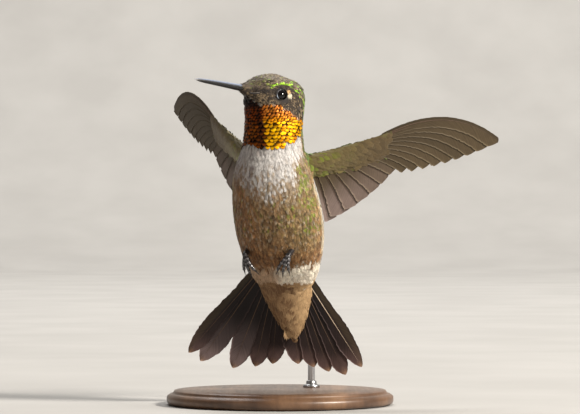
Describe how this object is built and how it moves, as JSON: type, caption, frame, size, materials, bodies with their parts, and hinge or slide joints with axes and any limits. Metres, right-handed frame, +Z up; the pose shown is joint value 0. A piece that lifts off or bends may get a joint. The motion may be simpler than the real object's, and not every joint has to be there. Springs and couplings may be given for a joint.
{
  "type": "ruby-throated hummingbird",
  "caption": "Adult male ruby-throated hummingbird, life size, hovering with spread wings and fanned tail, on a plain display stand.",
  "frame": {"origin": "centre of the underside of the stand's base", "axes": "+Z up, -Y the way the camera of a front view looks from, +X towards the bird's left wing"},
  "size_m": [0.0826, 0.0709, 0.0811],
  "materials": {
    "crown_feathers": "dull olive brown scales",
    "gorget_feathers": "iridescent orange scales",
    "breast_feathers": "fine feathers, white to olive brown",
    "vent_down": "white down",
    "undertail_feathers": "soft feathers with buff edges",
    "back_feathers": "iridescent green",
    "tail_feathers": "dark vanes with pale tips",
    "wing_coverts": "small overlapping feathers",
    "flight_feathers": "thin brown vanes",
    "bill": "satin black horn",
    "eye": "wet black",
    "foot": "black scaled skin",
    "stand_wood": "satin varnished walnut",
    "stand_steel": "satin"
  },
  "bodies": {
    "root": {"bill_lower": "bill", "bill_upper": "bill", "eye_l": "eye", "eye_r": "eye", "foot_l": "foot", "foot_r": "foot", "head": "crown_feathers", "leg_l": "foot", "leg_r": "foot", "neck": "gorget_feathers", "rectrix_l1": "tail_feathers", "rectrix_l2": "tail_feathers", "rectrix_l3": "tail_feathers", "rectrix_l4": "tail_feathers", "rectrix_l5": "tail_feathers", "rectrix_r1": "tail_feathers", "rectrix_r2": "tail_feathers", "rectrix_r3": "tail_feathers", "rectrix_r4": "tail_feathers", "rectrix_r5": "tail_feathers", "rump": "vent_down", "stand_base": "stand_wood", "stand_rod": "stand_steel", "trunk": "breast_feathers", "undertail_coverts": "undertail_feathers", "uppertail_coverts": "back_feathers", "wing_l_arm": "wing_coverts", "wing_l_primary_01": "flight_feathers", "wing_l_primary_02": "flight_feathers", "wing_l_primary_03": "flight_feathers", "wing_l_primary_04": "flight_feathers", "wing_l_primary_05": "flight_feathers", "wing_l_primary_06": "flight_feathers", "wing_l_primary_07": "flight_feathers", "wing_l_primary_08": "flight_feathers", "wing_l_primary_09": "flight_feathers", "wing_l_primary_10": "flight_feathers", "wing_l_secondaries": "flight_feathers", "wing_r_arm": "wing_coverts", "wing_r_primary_01": "flight_feathers", "wing_r_primary_02": "flight_feathers", "wing_r_primary_03": "flight_feathers", "wing_r_primary_04": "flight_feathers", "wing_r_primary_05": "flight_feathers", "wing_r_primary_06": "flight_feathers", "wing_r_primary_07": "flight_feathers", "wing_r_primary_08": "flight_feathers", "wing_r_primary_09": "flight_feathers", "wing_r_primary_10": "flight_feathers", "wing_r_secondaries": "flight_feathers"}
  },
  "joints": []
}
